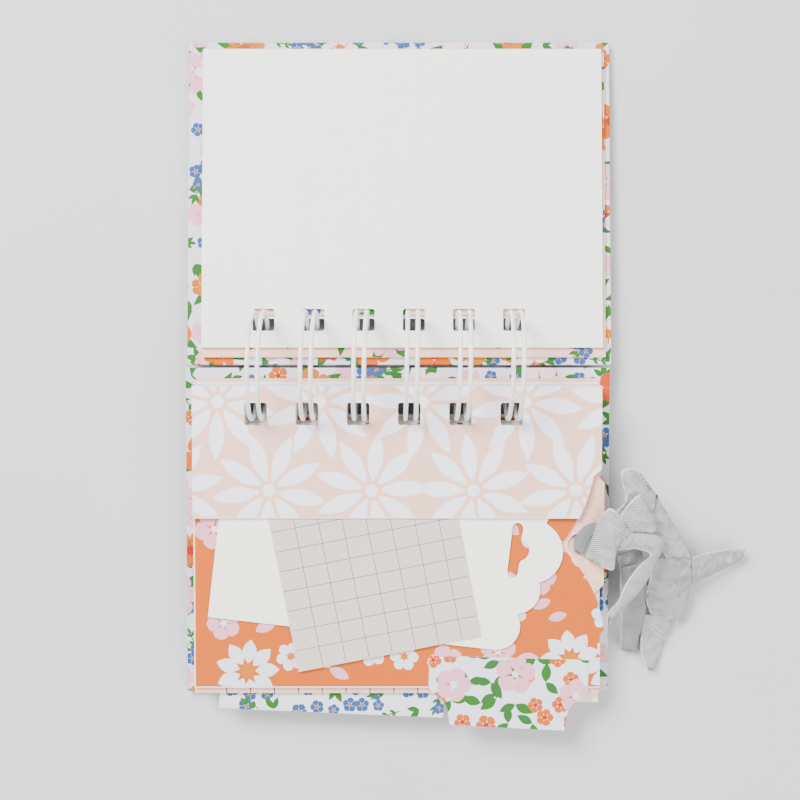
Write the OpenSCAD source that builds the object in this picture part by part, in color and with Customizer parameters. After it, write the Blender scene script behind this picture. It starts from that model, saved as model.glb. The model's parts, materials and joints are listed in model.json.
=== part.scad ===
// Wire-bound scrapbook album, lying open on its back.
// Two wrapped boards and seven pocket leaves hang on one twin-loop wire.
//
// Every sheet is drawn in the frame of its own side of the album:
//   x  along the binding, s  outwards from the ring axis, h  above the ring axis.
// front_side() and back_side() then lay that frame down on either side of the rings.

/* [Covers] */
// Width of each cover, along the binding
cover_w = 107.9; // [104:0.1:112]
// Length of each cover, away from the binding
cover_l = 83; // [80:0.5:90]
// Thickness of the chipboard
board_t = 2; // [1.5:0.1:2.2]
// Thickness of the paper wrapped round the board
wrap_t = 0.2; // [0.15:0.05:0.3]
// Width of the paper turned in on the inner face
turn_in = 12; // [8:1:16]
// Distance from the ring axis to each cover's hinge edge
cover_edge = 0.7; // [0.6:0.05:1]
// Sideways shift of the front block and, the other way, of the back block
skew = 0.6; // [0:0.1:0.7]

/* [Pages] */
// Width of a page, along the binding
page_w = 101.6; // [98:0.2:102]
// Length of a page, away from the binding
page_l = 76.2; // [74:0.2:77]
// Thickness of a page's card
card_t = 0.4; // [0.3:0.05:0.5]
// Thickness of a printed sheet
paper_t = 0.3; // [0.2:0.05:0.35]
// Clear height of a pocket in a plain leaf
pocket_t = 0.6; // [0.5:0.05:0.65]
// Height from one leaf to the next
leaf_step = 1.5; // [1.45:0.05:1.6]
// Width of the double-sided tape that closes a pocket
tape_w = 2; // [1.5:0.5:3]

/* [Binding] */
// Distance between neighbouring twin loops
pitch = 12.7; // [12:0.1:13]
// Number of twin loops
loops = 6; // [5:1:6]
// Radius of the wire's centreline
ring_r = 13.3; // [13.2:0.05:13.4]
// Diameter of the coated wire
wire_d = 1.1; // [1:0.05:1.2]
// Distance between the two wires of a loop
twin_gap = 2.5; // [2.4:0.05:2.6]
// Side of a punched hole
hole_w = 5.6; // [5.5:0.05:5.8]
// How far the row of holes lies left of the middle
row_offset = 3.45; // [3:0.05:4]

/* [Ribbon] */
// Thickness of the ribbon where it goes round the tag
ribbon_t = 0.2; // [0.15:0.05:0.25]
// How far the longest tail reaches right of the middle
ribbon_reach = 89.5; // [80:0.5:92]

/* [Hidden] */
$fn = 48;

// Covers: the wrapped board lies between these two heights below the ring axis.
cover_out = 10.5;
cover_in = cover_out - board_t - 2 * wrap_t;
liner_t = 0.15;
liner_inset = 4;
cover_far = cover_edge + cover_l;
cover_hole = 9;        // middle of a cover's holes, from its hinge edge
page_hole = 7;         // middle of a page's holes, from its bound edge

// Ring axis: the wire's lowest point and both covers' far edges touch the table.
bend_r = 1;
link_r = norm([ring_r, bend_r]);
axis_z = link_r + wire_d / 2;
tilt = asin(axis_z / norm([cover_out, cover_far])) - atan(cover_out / cover_far);
front_mid = skew;
back_mid = -skew;
front_centre = -0.2;   // middle of each cover, along the binding
back_centre = -0.6;

front_page_centre = 0.55;
back_page_centre = -0.75;

// Bound edge of each leaf, from the ring axis.
edge_1 = 2.6;
edge_2 = 5;
edge_7 = 3.4;
edge_6 = 4.2;
edge_5 = 4.7;
edge_4 = 5;
edge_3 = 5;

// Leaf 1 is longer than the others, and is punched further in.
page_1_w = page_w + 0.8;
page_1_l = 78.2;
page_1_hole = 8;
page_2_l = page_l + 0.2;

// Height of each leaf's lowest face.
air = 0.1;               // free height under and over a loose sheet
base_1 = -cover_in + liner_t + air;
base_2 = base_1 + card_t + paper_t + 2.5 * air;
base_7 = base_1;
base_6 = base_7 + leaf_step;
base_5 = base_6 + leaf_step;
base_4 = base_5 + leaf_step;
base_3 = base_4 + leaf_step;

// Leaf 3, from its grid card up to the daisy band.
grid_back_l = 77.4;
tab_w = 39.9;
side_pocket_t = 0.75;
band_pocket_t = 1;
orange_l = page_l - 0.4;
orange_h = base_3 + card_t + side_pocket_t;
orange_top = orange_h + paper_t;
band_h = orange_top + band_pocket_t;
band_l = 33;
tab_t = 0.25;
tag_t = 0.25;
tape_deep = 11.2;      // the binding-edge tape reaches just past the holes
page_left = back_page_centre - page_w / 2;
page_right = page_left + page_w;
front_page_left = front_page_centre - page_w / 2;

// The whole model is moved so that its base rests round the origin.
left_reach = back_centre - cover_w / 2;
front_reach = cover_far * cos(tilt) - cover_in * sin(tilt);
tab_far = 91.6;
back_reach = tab_far * cos(tilt) + (orange_top + tab_t) * sin(tilt);
middle = [(left_reach + ribbon_reach) / 2, (front_reach - back_reach) / 2, 0];

function hole_x(i) = (i - (loops - 1) / 2) * pitch - row_offset;
function arc(c, r, a, b, n = 10) =
    [for (i = [0 : n]) c + r * [cos(a + (b - a) * i / n), sin(a + (b - a) * i / n)]];

// ---- Placing -------------------------------------------------------------

module front_side() translate([0, 0, axis_z] - middle) rotate([-tilt, 0, 0]) children();
module back_side() translate([0, 0, axis_z] - middle) rotate([tilt, 0, 0])
    mirror([0, 1, 0]) children();

// A flat sheet with the outline of its child, from height h upwards.
module sheet(h, t) translate([0, 0, h]) linear_extrude(t) children();

corner_r = 0.6;          // corners of the punched holes
module rounded_square(w, r) {
    square([w, w - 2 * r], center = true);
    square([w - 2 * r, w], center = true);
    for (x = [-1, 1], y = [-1, 1]) translate([x, y] * (w / 2 - r)) circle(r);
}

module holes(edge, to_hole, mid) for (i = [0 : loops - 1])
    translate([hole_x(i) + mid, edge + to_hole]) rounded_square(hole_w, corner_r);

// A punched page outline: left end, bound edge, width and length.
module page(left, edge, w, l, mid, to_hole = page_hole) difference() {
    translate([left, edge]) square([w, l]);
    holes(edge, to_hole, mid);
}

// Tape along the binding edge and, where asked, along the left and right edges.
module tape(edge, l, left_side = true, right_side = true) difference() {
    union() {
        translate([page_left, edge]) square([page_w, tape_deep]);
        if (left_side) translate([page_left, edge]) square([tape_w, l]);
        if (right_side) translate([page_right - tape_w, edge]) square([tape_w, l]);
    }
    holes(edge, page_hole, back_mid);
}

// ---- Binding wire --------------------------------------------------------

// The local frame of a point on the ring: x along the binding, y outwards, z along the ring.
module on_ring(angle) rotate([angle, 0, 0]) translate([0, ring_r, 0]) children();
module bend(r, sweep) rotate([90, 0, 0]) rotate_extrude(angle = sweep)
    translate([r, 0]) circle(wire_d / 2);

// Two hoops, joined by a crossbar at the tip and bent outwards at the root. The link runs on
// from the root to the next loop, and a short stub ends the first and the last loop.
module twin_loop(first, last) {
    root = 270 + atan(bend_r / ring_r);
    tip = 270 - (twin_gap / 2 + 1.7) / ring_r * 180 / PI;
    bar_d = 0.8 * wire_d;
    span = pitch - twin_gap - 2 * bend_r;
    stub = span / 3;
    for (side = [0, 1]) mirror([side, 0, 0]) {
        translate([twin_gap / 2, 0, 0]) rotate([root, 0, 0]) rotate([90, 0, 90])
            rotate_extrude(angle = tip + 360 - root) translate([ring_r, 0]) circle(wire_d / 2);
        on_ring(root) translate([twin_gap / 2 + bend_r, 0, 0]) rotate([0, 180, 0])
            bend(bend_r, 90);
    }
    on_ring(tip) translate([-twin_gap / 2 - bar_d / 4, 0, -bar_d / 2]) rotate([0, 90, 0])
        cylinder(d = bar_d, h = twin_gap + bar_d / 2);
    on_ring(root) {
        translate([twin_gap / 2 + bend_r, 0, -bend_r]) rotate([0, 90, 0])
            cylinder(d = wire_d, h = last ? stub : span);
        if (first) translate([-twin_gap / 2 - bend_r, 0, -bend_r]) rotate([0, -90, 0])
            cylinder(d = wire_d, h = stub);
    }
}

module twin_loop_wire() color("white") translate([0, 0, axis_z] - middle)
    for (i = [0 : loops - 1]) translate([hole_x(i), 0, 0])
        twin_loop(i == 0, i == loops - 1);

// ---- Covers --------------------------------------------------------------

module cover_outline(centre, mid, inset = 0) difference() {
    translate([centre - cover_w / 2 + inset, cover_edge + inset])
        square([cover_w - 2 * inset, cover_l - 2 * inset]);
    holes(cover_edge, cover_hole, mid);
}

module cover_board(centre, mid) sheet(-cover_out + wrap_t, board_t)
    cover_outline(centre, mid, wrap_t);

// The paper goes round all four edges and is turned in on the inner face.
module cover_wrap(centre, mid) difference() {
    sheet(-cover_out, cover_out - cover_in) cover_outline(centre, mid);
    sheet(-cover_out + wrap_t, board_t)
        translate([centre - cover_w / 2 + wrap_t, cover_edge + wrap_t])
            square([cover_w - 2 * wrap_t, cover_l - 2 * wrap_t]);
    sheet(-cover_in - 2 * wrap_t, 3 * wrap_t)
        translate([centre - cover_w / 2 + turn_in, cover_edge + turn_in + 2])
            square([cover_w - 2 * turn_in, cover_l - 2 * turn_in - 2]);
}

module cover_liner(centre, mid) sheet(-cover_in, liner_t)
    cover_outline(centre, mid, liner_inset);

module front_cover_board() color("tan") front_side() cover_board(front_centre, front_mid);
module front_cover_wrap() color("lavender") front_side() cover_wrap(front_centre, front_mid);
module front_cover_liner() color("linen") front_side() cover_liner(front_centre, front_mid);
module back_cover_board() color("tan") back_side() cover_board(back_centre, back_mid);
module back_cover_wrap() color("lavender") back_side() cover_wrap(back_centre, back_mid);
module back_cover_liner() color("linen") back_side() cover_liner(back_centre, back_mid);

// ---- Leaves 1 and 2, on the front cover ----------------------------------

module leaf_1_card() color("ghostwhite") front_side() sheet(base_1, card_t)
    page(front_page_left, edge_1, page_1_w, page_1_l, front_mid, page_1_hole);
module leaf_1_paper() color("mistyrose") front_side() sheet(base_1 + card_t, paper_t)
    page(front_page_left, edge_1, page_1_w, page_1_l, front_mid, page_1_hole);
module leaf_2_paper() color("lavenderblush") front_side() sheet(base_2, paper_t)
    page(front_page_left, edge_2, page_w, page_2_l, front_mid);
module leaf_2_card() color("whitesmoke") front_side() sheet(base_2 + paper_t, card_t)
    page(front_page_left, edge_2, page_w, page_2_l, front_mid);

// ---- Leaves 7 to 4, on the back cover ------------------------------------

module back_card(edge, base) color("ghostwhite") back_side() sheet(base, card_t)
    page(page_left, edge, page_w, page_l, back_mid);
module back_tape(edge, base, right_side = true) color("snow") back_side()
    sheet(base + card_t, pocket_t) tape(edge, page_l, true, right_side);
module back_paper(edge, base, shade) color(shade) back_side()
    sheet(base + card_t + pocket_t, paper_t) page(page_left, edge, page_w, page_l, back_mid);

// A card that stands in the pocket of a leaf with the given base height.
module pocket_card(base, left, near, w, l, turn = 0) back_side()
    sheet(base + card_t + 1.5 * air, paper_t) translate([left, near]) rotate(turn) square([w, l]);

module leaf_7_card() back_card(edge_7, base_7);
module leaf_7_tape() back_tape(edge_7, base_7);
module leaf_7_paper() back_paper(edge_7, base_7, "pink");
module leaf_7_insert() color("ivory") pocket_card(base_7, -44, 19, 88, 61.5);

// Leaf 6 is one card with a mat behind a band that holds a journal card.
mat_h = base_6 + card_t;
band_6_near = 44;
band_6_l = 22;
module leaf_6_card() back_card(edge_6, base_6);
module leaf_6_mat() color("lightpink") back_side() sheet(mat_h, paper_t)
    translate([-46, 20]) square([90, 57]);
module leaf_6_belly_band() color("orange") back_side() {
    sheet(mat_h + pocket_t + paper_t / 2, paper_t) translate([page_left, band_6_near])
        square([page_w, band_6_l]);
    for (x = [page_left, page_right - tape_w]) sheet(mat_h, pocket_t + paper_t / 2)
        translate([x, band_6_near]) square([tape_w, band_6_l]);
}
module leaf_6_journal_card() color("white") back_side()
    sheet(mat_h + paper_t + air, tag_t) translate([-38, 24]) square([72, 50]);

module leaf_5_card() back_card(edge_5, base_5);
module leaf_5_tape() back_tape(edge_5, base_5, false);
module leaf_5_paper() back_paper(edge_5, base_5, "yellowgreen");
module cream_insert() color("oldlace") pocket_card(base_5, 10.2, 25.4, 40, 60);

module leaf_4_card() back_card(edge_4, base_4);
module leaf_4_tape() back_tape(edge_4, base_4);
module leaf_4_paper() back_paper(edge_4, base_4, "lightblue");
module blue_flower_insert() color("aliceblue")
    pocket_card(base_4, -43, 25, 56.6, 61.6, 2.5);

// ---- Leaf 3: grid card, side pocket, orange sheet and daisy band ---------

// The side pocket is open on the right between these distances from the ring axis.
side_open_near = 24.3;
side_open_far = 67.2;
notch_cusp = [40.7, 44.7];

// The bite out of the page's right edge: two bulging arcs that meet in a cusp.
notch = concat(
    [[page_right + 1, side_open_near + 1.4], [page_right, side_open_near + 1.6]],
    arc([9.7, 20.3], 39, 10.5, 38, 8),
    [notch_cusp],
    arc([16.9, 70.6], 34.4, -47.5, -7, 10),
    [[page_right + 1, side_open_far]]
);

module notched(outline_l, top = edge_3) difference() {
    page(page_left, top, page_w, outline_l, back_mid);
    polygon(notch);
}

module leaf_3_grid_card() color("white") back_side() sheet(base_3, card_t)
    page(page_left, edge_3, page_w, grid_back_l, back_mid);

module leaf_3_tape() color("snow") back_side() sheet(base_3 + card_t, side_pocket_t)
    difference() {
        union() {
            tape(edge_3, orange_l);
            translate([page_left, edge_3 + orange_l - tape_w]) square([page_w, tape_w]);
        }
        translate([page_right - tape_w - 1, side_open_near])
            square([tape_w + 2, side_open_far - side_open_near]);
    }

module leaf_3_orange_paper() color("sandybrown") back_side() sheet(orange_h, paper_t)
    notched(orange_l);

module leaf_3_band_tape() color("snow") back_side() sheet(orange_top, band_pocket_t)
    difference() {
        tape(edge_3, band_l);
        translate([page_right - tape_w - 1, side_open_near]) square([tape_w + 2, band_l]);
    }

module leaf_3_daisy_band() color("peachpuff") back_side() sheet(band_h, paper_t)
    notched(band_l);

// A file tab: it is glued on the page and its narrow end stands past the page.
module leaf_3_floral_tab() color("seagreen") back_side() sheet(orange_top, tab_t)
    translate([7.4, 72.6]) rotate(1.7) polygon(concat(
        [[tab_w, 0], [0, 0], [0, 8]],
        arc([0, 14.6], 5, -75, -15, 8), [[5.6, 17.4], [tab_w - 5.6, 18]],
        arc([tab_w, 14.6], 5, 195, 255, 8), [[tab_w, 8.6]]));

// ---- Loose tags ----------------------------------------------------------

// A tag with a bracket end: five round lobes, each given by its centre and radius.
scallop_w = 46.5;
scallop_lobes = [[71.8, 6, 6], [75.7, 15.6, 6], [78.3, 25.5, 7.9], [75.7, 35.4, 6], [71.8, 45, 6]];
module scallop_tag() color("cornsilk") back_side() sheet(orange_top + tab_t + air / 2, tag_t)
    translate([-48, 62.8]) rotate(6.6) mirror([0, 1]) difference() {
        intersection() {
            union() {
                square([72, scallop_w]);
                for (lobe = scallop_lobes) translate([lobe.x, lobe.y]) circle(lobe.z);
            }
            square([100, scallop_w]);
        }
        translate([74.3 - 1.35, 20]) square([2.7, 11]);
        for (v = [20, 31]) translate([74.3, v]) circle(1.35);
        translate([75.2, 25.5]) circle(2.6);
    }

module ledger_card() color("lightgray") back_side()
    sheet(orange_top + tab_t + tag_t + air, tag_t)
        translate([-25.3, 76.6]) rotate(-11.1) mirror([0, 1]) square([46.5, 51]);

// A shipping tag with clipped corners, lying in the side pocket, string end out.
tag_end = 51;
tag_near = 25.2;
tag_l = 70;
tag_w = 33.6;
clip = 4;
string_hole = [tag_end - 6.4, notch_cusp.y];
tag_h = base_3 + card_t + 0.25;
module pink_tag() color("pink") back_side() sheet(tag_h, 0.35) difference() {
    polygon([
        [tag_end - tag_l, tag_near], [tag_end - clip, tag_near], [tag_end, tag_near + clip],
        [tag_end, tag_near + tag_w - clip], [tag_end - clip, tag_near + tag_w],
        [tag_end - tag_l, tag_near + tag_w]]);
    translate(string_hole) circle(2.6);
}

// ---- Ribbon --------------------------------------------------------------

// The ribbon goes up through the tag's hole and round the tag's end.
module ribbon_wrap() color("silver") back_side() {
    over = tag_h + 0.35 + 0.05;
    under = tag_h - 0.05 - ribbon_t;
    end = tag_end + 0.1;
    sheet(over, ribbon_t) polygon([
        [43.4, 43.2], [46.6, 39.2], [end + ribbon_t, 38.4],
        [end + ribbon_t, 50.4], [47, 49], [43.4, 46.2]]);
    sheet(under, ribbon_t) translate([43.4, 42.9]) square([end + ribbon_t - 43.4, 3.6]);
    sheet(under, over - under + ribbon_t) translate([end, 42.9]) square([ribbon_t, 3.6]);
    sheet(under, over - under + ribbon_t) translate([43.4, 43.2]) square([0.8, 3]);
}

// A crumpled stretch of ribbon: the rounded hull of a few points.
module crumple(r, points) color("silver") back_side()
    hull() for (p = points) translate(p) sphere(r, $fn = 16);

module ribbon_knot() crumple(1.4, [[51.5, 37, 1], [50.5, 48, 1], [51.5, 37, 3], [49.6, 47, 3.2]]);
module ribbon_upper_loop() crumple(1, [
    [55.5, 27.5, 1.5], [63, 35.5, 2.5], [66.8, 44.5, 0], [59.5, 42, 2], [55.5, 36.6, 2.5]]);
module ribbon_fold() crumple(0.6, [
    [55.3, 36.6, 4.3], [58.6, 32.2, 4.3], [61.7, 38.8, 4.3], [60.5, 41, 4.3]]);
module ribbon_left_tail() crumple(1, [[58.8, 46.2, 2], [52.4, 60.6, 2.2]]);
module ribbon_panel() crumple(1.2, [[65, 50, -1], [73, 50.5, -3], [74, 64, -8.5], [65, 65, -8]]);
module ribbon_lower_tail() crumple(1, [
    [57.4, 60.6, -3.5], [61.8, 62, -3.5], [62, 73.8, -9], [57.8, 73, -9]]);
module ribbon_outer_tail() crumple(1, [
    [64.6, 68.2, -7.5], [70, 68.5, -7.5], [70, 79.2, -9.3], [66, 78.6, -9.3]]);
module ribbon_right_tail() crumple(1, [
    [76.2, 47, -3], [76.2, 52, -4.5], [ribbon_reach - 1, 49, -9.5]]);

twin_loop_wire();
front_cover_board();
front_cover_wrap();
front_cover_liner();
leaf_1_card();
leaf_1_paper();
leaf_2_card();
leaf_2_paper();
back_cover_board();
back_cover_wrap();
back_cover_liner();
leaf_7_card();
leaf_7_tape();
leaf_7_paper();
leaf_7_insert();
leaf_6_card();
leaf_6_mat();
leaf_6_belly_band();
leaf_6_journal_card();
leaf_5_card();
leaf_5_tape();
leaf_5_paper();
cream_insert();
leaf_4_card();
leaf_4_tape();
leaf_4_paper();
blue_flower_insert();
leaf_3_grid_card();
leaf_3_tape();
leaf_3_orange_paper();
leaf_3_band_tape();
leaf_3_daisy_band();
leaf_3_floral_tab();
scallop_tag();
ledger_card();
pink_tag();
ribbon_wrap();
ribbon_knot();
ribbon_upper_loop();
ribbon_fold();
ribbon_left_tail();
ribbon_panel();
ribbon_lower_tail();
ribbon_outer_tail();
ribbon_right_tail();
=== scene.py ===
"""Wire-bound scrapbook album, lying open, seen from straight above.

Every sheet is drawn flat, as an outline with printed shapes on it, in the frame of its side of
the album: x along the binding, s outwards from the ring axis, h above the ring axis, all in
millimetres. Side.place() lays that frame down on either side of the rings, in metres.
"""
import json
import math
import random

import bpy
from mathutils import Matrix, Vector, noise
from mathutils.geometry import delaunay_2d_cdt
from mathutils.kdtree import KDTree


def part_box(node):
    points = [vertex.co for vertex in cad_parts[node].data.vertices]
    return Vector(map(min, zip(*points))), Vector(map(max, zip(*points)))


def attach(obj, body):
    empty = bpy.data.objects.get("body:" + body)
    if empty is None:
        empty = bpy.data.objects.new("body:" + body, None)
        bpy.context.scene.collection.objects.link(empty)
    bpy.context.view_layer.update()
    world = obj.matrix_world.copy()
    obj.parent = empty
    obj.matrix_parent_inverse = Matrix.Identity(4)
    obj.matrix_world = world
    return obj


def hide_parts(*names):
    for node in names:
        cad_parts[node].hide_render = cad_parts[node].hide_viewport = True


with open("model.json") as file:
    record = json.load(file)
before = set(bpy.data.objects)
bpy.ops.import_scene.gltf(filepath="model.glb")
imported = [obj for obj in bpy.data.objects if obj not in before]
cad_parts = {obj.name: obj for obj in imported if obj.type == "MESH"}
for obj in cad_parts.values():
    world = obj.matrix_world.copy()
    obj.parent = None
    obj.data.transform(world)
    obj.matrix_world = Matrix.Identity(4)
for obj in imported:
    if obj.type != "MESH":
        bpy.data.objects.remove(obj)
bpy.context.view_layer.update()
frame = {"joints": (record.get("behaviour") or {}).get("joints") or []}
MM = 0.001

# ---- The album's own frame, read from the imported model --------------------

joints = {joint["name"]: joint for joint in frame["joints"]}
AXIS_Y, AXIS_Z = joints["front_cover_turn"]["pos_m"][1:]
TILT = math.radians((joints["front_cover_turn"]["range_deg"][1] - 180) / 2)
PAGE_LEFT = -51.55                       # left edge of the back pages, from the middle of the binding
PAGE_RIGHT = PAGE_LEFT + 101.6
FRONT_PAGE_LEFT = -50.25
MIDDLE_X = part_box("leaf_3_grid_card")[0].x - PAGE_LEFT * MM

PITCH = 12.7
LOOPS = 6
HOLE_W = 5.6
ROW_OFFSET = 3.45
SKEW = 0.6
RING_R = 13.3
WIRE_D = 1.1


class Side:
    """One side of the open album: front lies towards +Y, back towards -Y."""

    def __init__(self, sign):
        self.sign = sign
        self.mid = SKEW * sign

    def place(self, x, s, h):
        y = self.sign * (s * math.cos(TILT) + h * math.sin(TILT))
        z = h * math.cos(TILT) - s * math.sin(TILT)
        return Vector((MIDDLE_X + x * MM, AXIS_Y + y * MM, AXIS_Z + z * MM))

    def holes(self, edge, to_hole):
        return [rounded_box(hole_x(i) + self.mid, edge + to_hole, HOLE_W, HOLE_W, 0.6)
                for i in range(LOOPS)]


def hole_x(i):
    return (i - (LOOPS - 1) / 2) * PITCH - ROW_OFFSET


# ---- Flat shapes ----------------------------------------------------------

def turned(points, angle, cx=0.0, cy=0.0):
    c, s = math.cos(math.radians(angle)), math.sin(math.radians(angle))
    return [(cx + x * c - y * s, cy + x * s + y * c) for x, y in points]


def box2(x0, y0, x1, y1):
    return [(x0, y0), (x1, y0), (x1, y1), (x0, y1)]


def rounded_box(cx, cy, w, h, r, n=3):
    points = []
    for k, (sx, sy) in enumerate([(1, 1), (-1, 1), (-1, -1), (1, -1)]):
        for i in range(n + 1):
            a = math.radians(90 * k + 90 * i / n)
            points.append((cx + sx * (w / 2 - r) + r * math.cos(a),
                           cy + sy * (h / 2 - r) + r * math.sin(a)))
    return points


def blob(cx, cy, rx, ry=None, angle=0, n=12):
    ry = ry or rx
    return turned([(rx * math.cos(2 * math.pi * i / n), ry * math.sin(2 * math.pi * i / n))
                   for i in range(n)], angle, cx, cy)


def arc(cx, cy, r, a0, a1, n=8):
    return [(cx + r * math.cos(math.radians(a0 + (a1 - a0) * i / n)),
             cy + r * math.sin(math.radians(a0 + (a1 - a0) * i / n))) for i in range(n + 1)]


def petal(cx, cy, angle, near, far, w, fat=1.0, blunt=1.0, n=7):
    """A petal or leaf that points along angle. fat above 1 moves its widest part outwards, and
    blunt below 1 rounds its ends."""
    side = []
    for i in range(1, n):
        t = i / n
        side.append((near + (far - near) * t, w / 2 * math.sin(math.pi * t ** fat) ** blunt))
    points = [(near, 0)] + side + [(far, 0)] + [(x, -y) for x, y in reversed(side)]
    return turned(points, angle, cx, cy)


def leaf(x, y, angle, length, w, ink="green", fat=0.9):
    return [(petal(x, y, angle, 0, length, w, fat), ink)]


def flower(x, y, r, ink, heart, petals=5, w=None, turn=90, heart_r=None, near=0.12):
    """A round-petalled flower."""
    w = w or 2 * r * math.tan(math.pi / petals) * 0.6
    n = 9 if r > 3 else 5
    shapes = [(petal(x, y, turn + 360 / petals * k, r * near, r, w, 1.5, 0.7, n), ink)
              for k in range(petals)]
    return shapes + [(blob(x, y, heart_r or r * 0.25, n=8), heart)]


def daisy(x, y, far, w, ink, heart, petals=9, near=2.4, heart_r=1.75, turn=0, blunt=0.9):
    """A long-petalled daisy."""
    shapes = [(petal(x, y, turn + 360 / petals * k, near, far, w, 1.0, blunt, 9), ink)
              for k in range(petals)]
    return shapes + [(blob(x, y, heart_r, n=14), heart)]


def sprig(x, y, angle, length, pairs, leaf_l, ink="green"):
    """A thin stem with pairs of small leaves."""
    c, s = math.cos(math.radians(angle)), math.sin(math.radians(angle))
    shapes = [(petal(x, y, angle, 0, length, 0.35, 1, 0.3), ink)]
    for k in range(pairs):
        t = length * (k + 0.6) / pairs
        for turn in (38, -38):
            shapes += leaf(x + c * t, y + s * t, angle + turn, leaf_l, leaf_l * 0.42, ink)
    return shapes + leaf(x + c * length * 0.95, y + s * length * 0.95, angle, leaf_l, leaf_l * 0.4, ink)


# ---- Inks, as linear colours ----------------------------------------------

def linear(r, g, b):
    return tuple((c / 255 / 12.92) if c / 255 <= 0.04045 else ((c / 255 + 0.055) / 1.055) ** 2.4
                 for c in (r, g, b)) + (1.0,)


def richer(colour, by=1.4):
    """Deepens a colour, for bright soft light."""
    mean = sum(colour[:3]) / 3
    return tuple(min(1.0, max(0.0, mean + (c - mean) * by)) for c in colour[:3]) + (1.0,)


INKS = {
    "white": linear(226, 227, 233),
    "paper": linear(238, 237, 234),
    "lavender": linear(218, 216, 226),
    "blush": linear(232, 198, 184),
    "petal": linear(240, 240, 248),
    "pink": linear(220, 174, 188),
    "pale_pink": linear(236, 216, 219),
    "rose": linear(206, 164, 172),
    "orange": linear(184, 104, 22),
    "deep_orange": linear(176, 84, 26),
    "red": linear(164, 44, 20),
    "green": linear(48, 96, 40),
    "dark_green": linear(48, 92, 46),
    "yellow": linear(176, 118, 0),
    "gold": linear(180, 116, 8),
    "blue": linear(66, 88, 134),
    "rule": linear(104, 98, 98),
    "tick": linear(36, 38, 52),
    "ledger": linear(208, 198, 191),
    "under": linear(232, 231, 229),
}
INKS = {name: richer(colour) for name, colour in INKS.items()}

# ---- Materials ------------------------------------------------------------


class Nodes:
    """A small helper that builds a node material in a few readable lines."""

    def __init__(self, name):
        self.material = bpy.data.materials.new(name)
        self.material.use_nodes = True
        self.tree = self.material.node_tree
        self.shader = self.tree.nodes["Principled BSDF"]
        self.coords = self.add("ShaderNodeTexCoord").outputs["Object"]

    def add(self, kind, **values):
        node = self.tree.nodes.new(kind)
        for key, value in values.items():
            if hasattr(node, key) and key not in node.inputs:
                setattr(node, key, value)
            else:
                node.inputs[key].default_value = value
        return node

    def link(self, source, node, socket):
        self.tree.links.new(source, node.inputs[socket])
        return node

    def noise(self, scale, detail=3.0, rough=0.6, stretch=None):
        node = self.add("ShaderNodeTexNoise", Scale=scale, Detail=detail, Roughness=rough)
        source = self.coords
        if stretch:
            mapping = self.add("ShaderNodeMapping")
            mapping.inputs["Scale"].default_value = stretch
            self.link(source, mapping, "Vector")
            source = mapping.outputs["Vector"]
        self.link(source, node, "Vector")
        return node.outputs["Fac"]

    def ramp(self, source, low, high, at=(0.35, 0.65)):
        node = self.add("ShaderNodeValToRGB")
        node.color_ramp.elements[0].position, node.color_ramp.elements[1].position = at
        node.color_ramp.elements[0].color = low
        node.color_ramp.elements[1].color = high
        self.link(source, node, "Fac")
        return node.outputs["Color"]

    def mix(self, a, b, factor, mode="MIX"):
        node = self.add("ShaderNodeMix", data_type="RGBA", blend_type=mode)
        for socket, value in ((0, factor), (6, a), (7, b)):
            if isinstance(value, bpy.types.NodeSocket):
                self.tree.links.new(value, node.inputs[socket])
            else:
                node.inputs[socket].default_value = value
        return node.outputs[2]

    def math(self, operation, a, b=0.0, c=0.0):
        node = self.add("ShaderNodeMath", operation=operation)
        for socket, value in enumerate((a, b, c)):
            if isinstance(value, bpy.types.NodeSocket):
                self.tree.links.new(value, node.inputs[socket])
            else:
                node.inputs[socket].default_value = value
        return node.outputs[0]

    def bump(self, height, distance, strength=1.0):
        node = self.add("ShaderNodeBump", Distance=distance, Strength=strength)
        self.link(height, node, "Height")
        self.link(node.outputs["Normal"], self.shader, "Normal")

    def spread(self, source, low, high):
        node = self.add("ShaderNodeMapRange")
        node.inputs["To Min"].default_value = low
        node.inputs["To Max"].default_value = high
        self.link(source, node, "Value")
        return node.outputs["Result"]


def grey(value):
    return (value, value, value, 1.0)


def paper_material(name, colour=None, rough=0.78, tooth=0.00004, mottle=0.05, ripple_shade=0.0):
    """Paper or card: fibres and mottling over a plain colour, or over the printed ink. ripple_shade adds long
    faint bands of painted shade for the sheet's ripples.
    """
    m = Nodes(name)
    if colour is None:
        base = m.add("ShaderNodeAttribute", attribute_name="ink").outputs["Color"]
    else:
        base = colour
    cloud = m.ramp(m.noise(260, 5, 0.65), grey(1 - mottle), grey(1.0), (0.3, 0.7))
    fibre = m.ramp(m.noise(2600, 3, 0.7, (1, 0.35, 1)), grey(0.955), grey(1.0), (0.3, 0.62))
    toned = m.mix(m.mix(base, cloud, 1.0, "MULTIPLY"), fibre, 1.0, "MULTIPLY")
    if ripple_shade:
        # Painted shade: long faint darker bands that stand in for the shading of the card's ripples.
        ripple_shade_bands = m.ramp(m.noise(150, 2, 0.5, (1, 0.06, 1)), grey(1 - ripple_shade), grey(1.0), (0.3, 0.7))
        toned = m.mix(toned, ripple_shade_bands, 1.0, "MULTIPLY")
    m.link(toned, m.shader, "Base Color")
    m.link(m.spread(m.noise(900), rough - 0.08, rough + 0.08), m.shader, "Roughness")
    m.shader.inputs["Specular IOR Level"].default_value = 0.35
    height = m.math("ADD", m.noise(3200, 4, 0.7), m.math("MULTIPLY", m.noise(420, 3), 0.8))
    m.bump(height, tooth, 0.7)
    return m.material


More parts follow.
